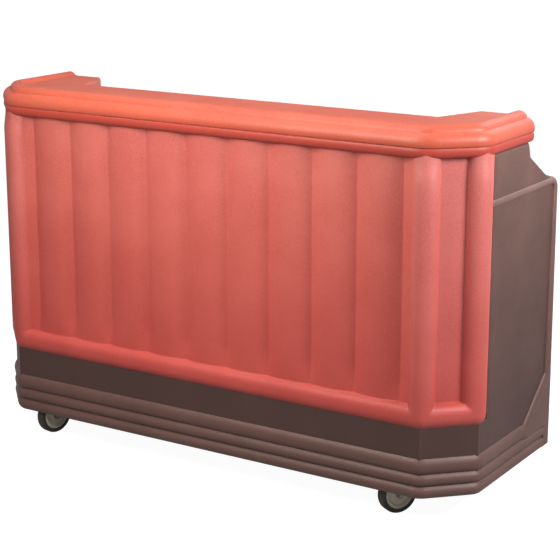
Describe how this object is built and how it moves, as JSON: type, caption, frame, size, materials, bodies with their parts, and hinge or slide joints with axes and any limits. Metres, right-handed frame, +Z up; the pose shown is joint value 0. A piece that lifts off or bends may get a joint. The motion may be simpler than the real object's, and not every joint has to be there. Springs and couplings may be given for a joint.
{
  "type": "portable bar",
  "caption": "Portable serving bar on swivel casters, with a pleated moulded front, a U-shaped rimmed top, a work deck with ice bin and bottle wells, and open storage behind.",
  "frame": {"origin": "on the floor under the middle of the bar", "axes": "+X along the bar, to the right of a guest who faces it; -Y towards the guest; +Z up"},
  "size_m": [1.848, 0.66, 1.219],
  "materials": {
    "red_top": "satin moulded",
    "red_panel": "pebbled moulded",
    "brown_body": "pebbled moulded",
    "grey_liner": "satin moulded",
    "black_plastic": "satin",
    "hub_plastic": "satin",
    "tyre_rubber": "matte",
    "zinc_steel": "zinc plated",
    "brake_steel": "black coated",
    "stainless": "brushed",
    "brass": "machined",
    "red_lever": "dipped"
  },
  "bodies": {
    "bar": {"bar_top": "red_top", "bar_top_backer": "brown_body", "top_brackets": "zinc_steel", "bracket_screws": "zinc_steel", "front_panel": "red_panel", "corner_panel_left": "red_panel", "corner_panel_right": "red_panel", "panel_screws": "zinc_steel", "base_tray": "brown_body", "cabinet_floor": "brown_body", "bumper": "brown_body", "front_wall": "brown_body", "end_panel_left": "brown_body", "end_panel_right": "brown_body", "divider": "brown_body", "work_deck": "brown_body", "ice_bin": "grey_liner", "drain_fitting": "stainless", "drain_nut": "black_plastic", "drain_valve": "brass", "drain_spout": "brass", "hanger_bar": "stainless", "caster_bolts": "zinc_steel", "caster_nuts": "zinc_steel", "caster_plate_front_left": "zinc_steel", "king_pin_front_left": "zinc_steel", "caster_plate_front_right": "zinc_steel", "king_pin_front_right": "zinc_steel", "caster_plate_back_left": "zinc_steel", "king_pin_back_left": "zinc_steel", "caster_plate_back_right": "zinc_steel", "king_pin_back_right": "zinc_steel"},
    "ice_bin_cover": {"ice_bin_cover": "grey_liner", "cover_handle": "stainless"},
    "bottle_well_left": {"bottle_well_left": "grey_liner"},
    "bottle_well_right": {"bottle_well_right": "grey_liner"},
    "shelf": {"shelf": "brown_body"},
    "speed_rail": {"speed_rail": "stainless"},
    "drain_lever": {"valve_ball": "stainless", "valve_lever": "red_lever"},
    "caster_swivel_front_left": {"yoke_front_left": "zinc_steel", "axle_front_left": "zinc_steel"},
    "caster_wheel_front_left": {"hub_front_left": "hub_plastic", "tyre_front_left": "tyre_rubber"},
    "caster_swivel_front_right": {"yoke_front_right": "zinc_steel", "axle_front_right": "zinc_steel"},
    "caster_wheel_front_right": {"hub_front_right": "hub_plastic", "tyre_front_right": "tyre_rubber"},
    "caster_swivel_back_left": {"yoke_back_left": "zinc_steel", "axle_back_left": "zinc_steel"},
    "caster_wheel_back_left": {"hub_back_left": "hub_plastic", "tyre_back_left": "tyre_rubber"},
    "brake_pedal_back_left": {"brake_pedal_back_left": "brake_steel"},
    "caster_swivel_back_right": {"yoke_back_right": "zinc_steel", "axle_back_right": "zinc_steel"},
    "caster_wheel_back_right": {"hub_back_right": "hub_plastic", "tyre_back_right": "tyre_rubber"},
    "brake_pedal_back_right": {"brake_pedal_back_right": "brake_steel"}
  },
  "joints": [
    {"name": "caster_swivel_front_left", "type": "hinge", "parent": "bar", "child": "caster_swivel_front_left", "pos_m": [-0.689, -0.212, 0.141], "axis": [0, 0, 1], "continuous": true},
    {"name": "caster_wheel_front_left", "type": "hinge", "parent": "caster_swivel_front_left", "child": "caster_wheel_front_left", "pos_m": [-0.6971, -0.24708, 0.0635], "axis": [0.9744, -0.225, 0], "continuous": true},
    {"name": "caster_swivel_front_right", "type": "hinge", "parent": "bar", "child": "caster_swivel_front_right", "pos_m": [0.689, -0.212, 0.141], "axis": [0, 0, 1], "continuous": true},
    {"name": "caster_wheel_front_right", "type": "hinge", "parent": "caster_swivel_front_right", "child": "caster_wheel_front_right", "pos_m": [0.67062, -0.24295, 0.0635], "axis": [0.8599, -0.5105, 0], "continuous": true},
    {"name": "caster_swivel_back_left", "type": "hinge", "parent": "bar", "child": "caster_swivel_back_left", "pos_m": [-0.689, 0.212, 0.141], "axis": [0, 0, 1], "continuous": true},
    {"name": "caster_wheel_back_left", "type": "hinge", "parent": "caster_swivel_back_left", "child": "caster_wheel_back_left", "pos_m": [-0.70808, 0.24253, 0.0635], "axis": [-0.848, -0.5299, 0], "continuous": true},
    {"name": "brake_pedal_back_left", "type": "hinge", "parent": "caster_swivel_back_left", "child": "brake_pedal_back_left", "pos_m": [-0.72609, 0.27136, 0.126], "axis": [-0.848, -0.5299, 0], "range_deg": [0, 12]},
    {"name": "caster_swivel_back_right", "type": "hinge", "parent": "bar", "child": "caster_swivel_back_right", "pos_m": [0.689, 0.212, 0.141], "axis": [0, 0, 1], "continuous": true},
    {"name": "caster_wheel_back_right", "type": "hinge", "parent": "caster_swivel_back_right", "child": "caster_wheel_back_right", "pos_m": [0.71214, 0.23958, 0.0635], "axis": [-0.766, 0.6428, 0], "continuous": true},
    {"name": "brake_pedal_back_right", "type": "hinge", "parent": "caster_swivel_back_right", "child": "brake_pedal_back_right", "pos_m": [0.734, 0.26562, 0.126], "axis": [-0.766, 0.6428, 0], "range_deg": [0, 12]},
    {"name": "cover_lift", "type": "slide", "parent": "bar", "child": "ice_bin_cover", "axis": [0, 0, 1], "range_m": [0, 0.25]},
    {"name": "well_lift_left", "type": "slide", "parent": "bar", "child": "bottle_well_left", "axis": [0, 0, 1], "range_m": [0, 0.24]},
    {"name": "well_lift_right", "type": "slide", "parent": "bar", "child": "bottle_well_right", "axis": [0, 0, 1], "range_m": [0, 0.24]},
    {"name": "shelf_slide", "type": "slide", "parent": "bar", "child": "shelf", "axis": [0, 1, 0], "range_m": [0, 0.3]},
    {"name": "rail_lift", "type": "slide", "parent": "bar", "child": "speed_rail", "axis": [0, 0, 1], "range_m": [0, 0.05]},
    {"name": "drain_lever", "type": "hinge", "parent": "bar", "child": "drain_lever", "pos_m": [-0.35, 0.176, 0.598], "axis": [0, 1, 0], "range_deg": [0, 90]}
  ]
}
